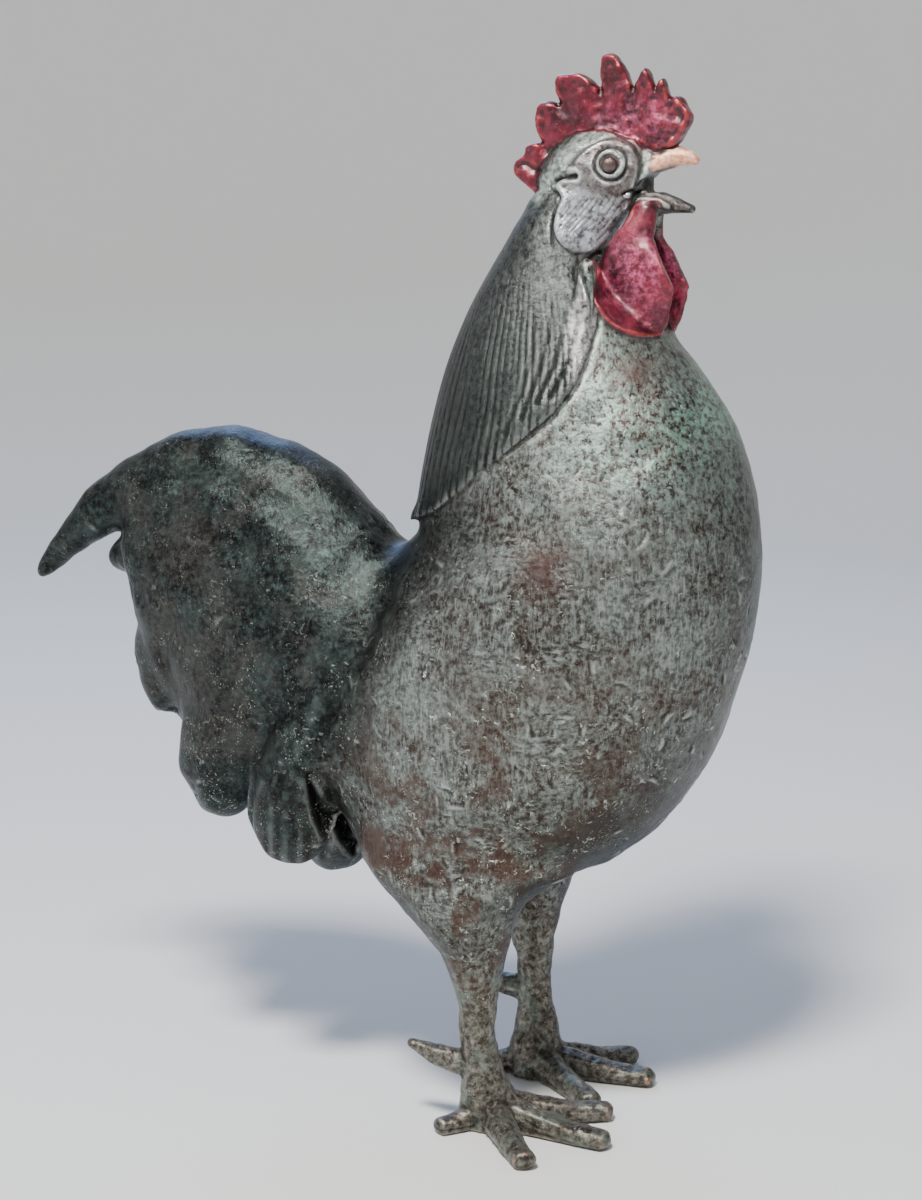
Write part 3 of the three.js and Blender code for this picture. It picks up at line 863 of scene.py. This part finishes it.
broken = grain(210, 2, 0.5, move=23).between(0.53, 0.6) * grain(33, 3, 0.6, move=41).between(0.47, 0.56)
curls = (1 - winding.between(0.004, 0.022)) * broken * (mark("clay") * 0.9 + 0.04)
print("noises and marks in", len(bronze.node_tree.nodes), "nodes")

# %% [markdown]
# The body is brown where it was handled and grey-green where the film is thick. The breast is the
# greenest part, made paler there as a painted highlight, and the lower body is rusty. Undersides, the
# breast's far front, the rump's crease and the back under the cape are darkened as painted shade. Each
# line lays one thin colour over all the colours before it.

# %% Colour the body
BROWN_METAL = rgb(64, 54, 49)
GREY_FILM = rgb(97, 102, 98)
PALE_GRAIN = rgb(168, 180, 173)
DARK_PORES = rgb(40, 34, 31)
BRUSHED_FILM = rgb(172, 180, 175)
BREAST_GREEN_AND_HIGHLIGHT = rgb(142, 168, 157)
CHALKY_GREEN = rgb(132, 192, 168)
RUST = rgb(76, 52, 43)
RED_STAIN = rgb(80, 50, 46)
PAINTED_SHADE = rgb(28, 28, 26)
BODY_HOLLOWS = rgb(30, 29, 27)
BODY_RIDGES = rgb(186, 190, 184)

film = (patch * 0.5 + cloud * 0.5).between(0.42, 0.6)
body = film.tint(BROWN_METAL, GREY_FILM)
body = (fine.between(0.42, 0.66) * 0.5).tint(body, PALE_GRAIN)
body = ((1 - fine.between(0.32, 0.52)) * 0.62).tint(body, DARK_PORES)
body = (brush.between(0.48, 0.64) * 0.36).tint(body, BRUSHED_FILM)
# The breast's green film, made pale enough to double as a painted highlight.
body = (mark("breast") * fine.between(0.4, 0.6) * 0.6).tint(body, BREAST_GREEN_AND_HIGHLIGHT)
body = (mark("verdigris") * fine.between(0.46, 0.62) * 0.7).tint(body, CHALKY_GREEN)
rust = (mark("low") * 0.6 + 0.25) * grain(24, 6, 0.68, move=21).between(0.46, 0.58)
body = rust.tint(body, RUST)
body = (mark("stain") * cloud.between(0.36, 0.56) * 0.8).tint(body, RED_STAIN)
body = (mark("shade") * 0.68).tint(body, PAINTED_SHADE)
body = (hollow * 0.6).tint(body, BODY_HOLLOWS)
body = (ridge * 0.35).tint(body, BODY_RIDGES)

# %% [markdown]
# The tail is the darkest part, nearly black with a green gleam. White flecks, smears and thin curls of
# lime lie over both body and tail, so they are mixed in after them.

# %% Colour the tail and the flecks
TAIL_BLACK = rgb(12, 16, 17)
TAIL_GREY = rgb(38, 45, 43)
TAIL_GREEN = rgb(66, 92, 90)
TAIL_BROWN = rgb(62, 50, 46)
TAIL_RIDGES = rgb(104, 120, 120)
SLIT_PAINTED_SHADE = rgb(8, 8, 8)
FLECK_WHITE = rgb(214, 220, 212)
SMEAR_GREY = rgb(178, 188, 180)
CURL_WHITE = rgb(206, 212, 204)

tail_top = cloud.between(0.4, 0.62).tint(TAIL_BLACK, TAIL_GREY)
tail_top = (fine.between(0.45, 0.66) * 0.36).tint(tail_top, TAIL_GREEN)
tail_top = (patch.between(0.5, 0.6) * fine.between(0.4, 0.6) * 0.6).tint(tail_top, TAIL_BROWN)
tail_top = (ridge * 0.3).tint(tail_top, TAIL_RIDGES)
body = (mark("tail") * 0.9).tint(body, tail_top)
# Painted shade: the slit is coloured near black where its recess would lie in shadow.
body = (mark("slit") * 0.95).tint(body, SLIT_PAINTED_SHADE)
flecked = flecks * (mark("low") * 0.5 + 0.4)
body = flecked.tint(body, FLECK_WHITE)
body = (mark("smear") * 0.3).tint(body, SMEAR_GREY)
body = (curls * 0.65).tint(body, CURL_WHITE)

# %% [markdown]
# Raised feather edges were rubbed bright again and the grooves between them kept their dark film. Toes
# and shanks look like horn, with worn tips. Each is mixed over the body by its own mark, so that one
# material does for the whole casting.

# %% Colour the cape and the feet
PLUME_DARK = rgb(46, 47, 46)
PLUME_GREY = rgb(94, 99, 97)
PLUME_PAINTED_SHADE = rgb(30, 38, 36)
PLUME_RIDGES = rgb(136, 140, 136)
PLUME_GROOVES = rgb(18, 21, 20)
FRONT_PAINTED_HIGHLIGHT = rgb(206, 204, 200)
HORN_BROWN = rgb(56, 48, 42)
HORN_GREY = rgb(136, 133, 122)
HORN_GREEN = rgb(112, 132, 120)
HORN_FLECKS = rgb(200, 196, 186)
HORN_HOLLOWS = rgb(22, 20, 18)
HORN_RIDGES = rgb(168, 156, 142)
WORN_TIPS = rgb(176, 110, 84)

plumes = fine.between(0.35, 0.65).tint(PLUME_DARK, PLUME_GREY)
# Painted shade: the lower cape is darkened.
plumes = (mark("lower_cape_shade") * 0.7).tint(plumes, PLUME_PAINTED_SHADE)
plumes = (ridge * 0.5).tint(plumes, PLUME_RIDGES)
plumes = (hollow * 0.75).tint(plumes, PLUME_GROOVES)
body = (mark("cape") * 0.9).tint(body, plumes)
# Painted highlight: the cape's front fold is made pale as if catching the light.
body = (mark("cape_front_highlight") * fine.between(0.3, 0.6) * 0.6).tint(body, FRONT_PAINTED_HIGHLIGHT)
horny = fine.between(0.38, 0.7).tint(HORN_BROWN, HORN_GREY)
horny = (cloud.between(0.5, 0.62) * 0.4).tint(horny, HORN_GREEN)
horny = (flecks * 0.8).tint(horny, HORN_FLECKS)
horny = (hollow * 0.7).tint(horny, HORN_HOLLOWS)
horny = (ridge * 0.5).tint(horny, HORN_RIDGES)
body = (mark("foot") * 0.85).tint(body, horny)
body = (mark("tips") * ridge * 0.5).tint(body, WORN_TIPS)

# %% [markdown]
# The ear lobe is the palest spot of the bird, nearly silver. The plate round the eye is browner, and
# a chalky green rims the face, the eye and the mouth.

# %% Colour the face
FACE_BROWN = rgb(76, 66, 64)
FACE_GREY = rgb(128, 123, 121)
LOBE_GREY = rgb(100, 98, 102)
LOBE_SILVER = rgb(206, 211, 216)
FACE_RIDGES = rgb(226, 228, 232)
FACE_HOLLOWS = rgb(44, 42, 42)
RIM_GREEN = rgb(100, 114, 107)
RIM_WHITE = rgb(186, 196, 188)
RIM_HOLLOWS = rgb(54, 62, 58)
PUPIL_BROWN = rgb(96, 78, 74)

bare_face = fine.between(0.38, 0.64).tint(FACE_BROWN, FACE_GREY)
silver = fine.between(0.35, 0.6).tint(LOBE_GREY, LOBE_SILVER)
bare_face = mark("lobe").tint(bare_face, silver)
bare_face = (ridge * 0.7).tint(bare_face, FACE_RIDGES)
bare_face = (hollow * 0.85).tint(bare_face, FACE_HOLLOWS)
body = (mark("plate") * 0.95).tint(body, bare_face)
verdigris = fine.between(0.38, 0.62).tint(RIM_GREEN, RIM_WHITE)
verdigris = (hollow * 0.7).tint(verdigris, RIM_HOLLOWS)
body = (mark("pale") * 0.85).tint(body, verdigris)
body = (mark("pupil") * 0.9).tint(body, PUPIL_BROWN)

# %% [markdown]
# The comb and the wattles were stained a deep crimson that has worn lighter on their rims, and a pink
# painted highlight lies on each wattle's dish and on the comb's front. The upper beak is polished down
# to bare copper, while the lower one is dark, and the mouth between them is painted dark as shade.

# %% Colour the comb, the wattles and the beak
WINE_RED = rgb(52, 4, 18)
CRIMSON = rgb(112, 11, 36)
PINK_GRAIN = rgb(190, 74, 112)
PINK_PAINTED_SHEEN = rgb(226, 106, 150)
RED_HOLLOWS = rgb(30, 4, 12)
RED_RIMS = rgb(184, 66, 58)
COPPER = rgb(226, 138, 102)
BRIGHT_COPPER = rgb(250, 208, 182)
COPPER_HOLLOWS = rgb(98, 70, 60)
JAW_DARK = rgb(40, 35, 35)
JAW_GREY = rgb(104, 98, 94)
JAW_RIDGES = rgb(188, 180, 168)
MOUTH_PAINTED_SHADE = rgb(24, 20, 20)

red = cloud.between(0.38, 0.62).tint(WINE_RED, CRIMSON)
red = (fine.between(0.52, 0.7) * 0.34).tint(red, PINK_GRAIN)
red = (mark("painted_sheen") * fine.between(0.4, 0.64) * 0.6).tint(red, PINK_PAINTED_SHEEN)
red = (hollow * 0.85).tint(red, RED_HOLLOWS)
red = (ridge * 0.4).tint(red, RED_RIMS)
body = mark("red").tint(body, red)
worn_copper = fine.between(0.34, 0.62).tint(COPPER, BRIGHT_COPPER)
worn_copper = (hollow * 0.8).tint(worn_copper, COPPER_HOLLOWS)
body = mark("copper").tint(body, worn_copper)
jaw = fine.between(0.35, 0.65).tint(JAW_DARK, JAW_GREY)
jaw = (ridge * 0.6).tint(jaw, JAW_RIDGES)
body = mark("jaw").tint(body, jaw)
# Painted shade: the mouth recess is coloured nearly black.
body = (mark("mouth_painted_shade") * 0.9).tint(body, MOUTH_PAINTED_SHADE)

# %% [markdown]
# The film dulls the metal, so roughness rises and the metal share falls where it is thick. Painted
# red parts were lacquered once: they get a thin satin coat, which gives them their pinkish light.

# %% Close the bronze
rough_film = hollow * 0.25 + film * 0.1 - ridge * 0.06 + flecks * 0.2
shine = 0.3 + rough_film + mark("slit") * 0.4 + (fine - 0.5) * 0.4
stains = mark("red") * 0.25 + mark("pale") * 0.5 + mark("copper") * 0.3
metal = 0.92 - film * 0.2 - flecked * 0.4 - stains
height = fine * 0.9 + brush * 0.5 + speck * 0.25 + flecks * 0.4 + curls * 0.7
bump = start.node("ShaderNodeBump", inputs={"Strength": 0.6, "Distance": 0.0011, "Height": height})
coat = mark("red") * 0.6
settings = {"Base Color": body, "Roughness": shine, "Metallic": metal, "Normal": bump}
finish_material(start, {**settings, "Coat Weight": coat, "Coat Roughness": 0.3})

# %% [markdown]
# The finished skin takes the solid's place in the picture. It is attached to the root body and painted
# with the bronze, and the solid is hidden.

# %% Put the bronze on the bird
light_skin.materials.clear()
light_skin.materials.append(bronze)
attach(rooster, "root")
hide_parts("rooster")
print("bronze of", len(bronze.node_tree.nodes), "nodes")

# %% [markdown]
# A studio sweep keeps the eye on the bird: a pale floor that curves up into a wall, so that no
# horizon cuts the picture. It is one profile turned all the way round, like a wide bowl, so the bird
# can be walked around as well.

# %% Lay the floor
BOWL_FLOOR = 2.3
BOWL_CURVE = 1.7
BOWL_TOP = 4.5
BOWL_SIDES = 96
BOWL_BENDS = 17
BOWL_BELOW = 0.0005

bowl = [(0.01, 0.0)]
for bend in np.linspace(0, math.pi / 2, BOWL_BENDS):
    bowl.append((BOWL_FLOOR + BOWL_CURVE * math.sin(bend), BOWL_CURVE * (1 - math.cos(bend))))
bowl.append((BOWL_FLOOR + BOWL_CURVE, BOWL_TOP))
turns = np.linspace(0, 2 * math.pi, BOWL_SIDES, endpoint=False)
corners = [
    (reach * math.cos(turn), reach * math.sin(turn), height - BOWL_BELOW)
    for reach, height in bowl
    for turn in turns
]
panes = [
    (row + i, row + (i + 1) % BOWL_SIDES, row + BOWL_SIDES + (i + 1) % BOWL_SIDES, row + BOWL_SIDES + i)
    for row in range(0, (len(bowl) - 1) * BOWL_SIDES, BOWL_SIDES)
    for i in range(BOWL_SIDES)
]
sweep_mesh = bpy.data.meshes.new("sweep")
sweep_mesh.from_pydata(corners, [], [tuple(range(BOWL_SIDES))[::-1], *panes])
sweep_mesh.shade_smooth()
sweep = bpy.data.objects.new("sweep", sweep_mesh)
bpy.context.scene.collection.objects.link(sweep)
pale_paper, start = new_material("pale paper")
finish_material(start, {"Base Color": (0.74, 0.74, 0.72, 1), "Roughness": 0.9})
sweep_mesh.materials.append(pale_paper)
print("sweep", round(2 * (BOWL_FLOOR + BOWL_CURVE), 1), "m across")

# %% [markdown]
# The bird was photographed under a high sun with bright sky all round. A bright lamp half a metre wide,
# high above the camera, stands for the sun. A low wide one on the left softens its shadows, and a
# blue one behind picks out the top of the tail and the neck as the sky does. A pale sky all round
# fills the rest. Area lamps are used since a real sun lamp would cast edges too hard for a studio.

# %% Light the bird
LOOK_AT = Vector((0.05, 0.0, 0.4))
SKY_COLOUR = (0.88, 0.92, 0.98, 1)
SKY_STRENGTH = 0.36


def lamp(name, place, size, watts, colour):
    """A square soft lamp that points at the breast."""
    light = bpy.data.lights.new(name, "AREA")
    light.size = size
    light.energy = watts
    light.color = colour
    made = bpy.data.objects.new(name, light)
    made.location = place
    made.rotation_euler = (LOOK_AT - Vector(place)).to_track_quat("-Z", "Y").to_euler()
    bpy.context.scene.collection.objects.link(made)


lamp("sun", (0.15, -1.5, 2.5), 0.5, 130, (1.0, 0.98, 0.95))
lamp("fill", (-1.6, -2.2, 1.0), 1.6, 9, (0.95, 0.98, 1.0))
lamp("sky", (-1.0, 1.7, 2.0), 1.2, 30, (0.34, 0.52, 1.0))
sky = bpy.data.worlds.new("sky")
sky.use_nodes = True
background = sky.node_tree.nodes["Background"]
background.inputs["Color"].default_value = SKY_COLOUR
background.inputs["Strength"].default_value = SKY_STRENGTH
bpy.context.scene.world = sky
print("lamps", len(bpy.data.lights))
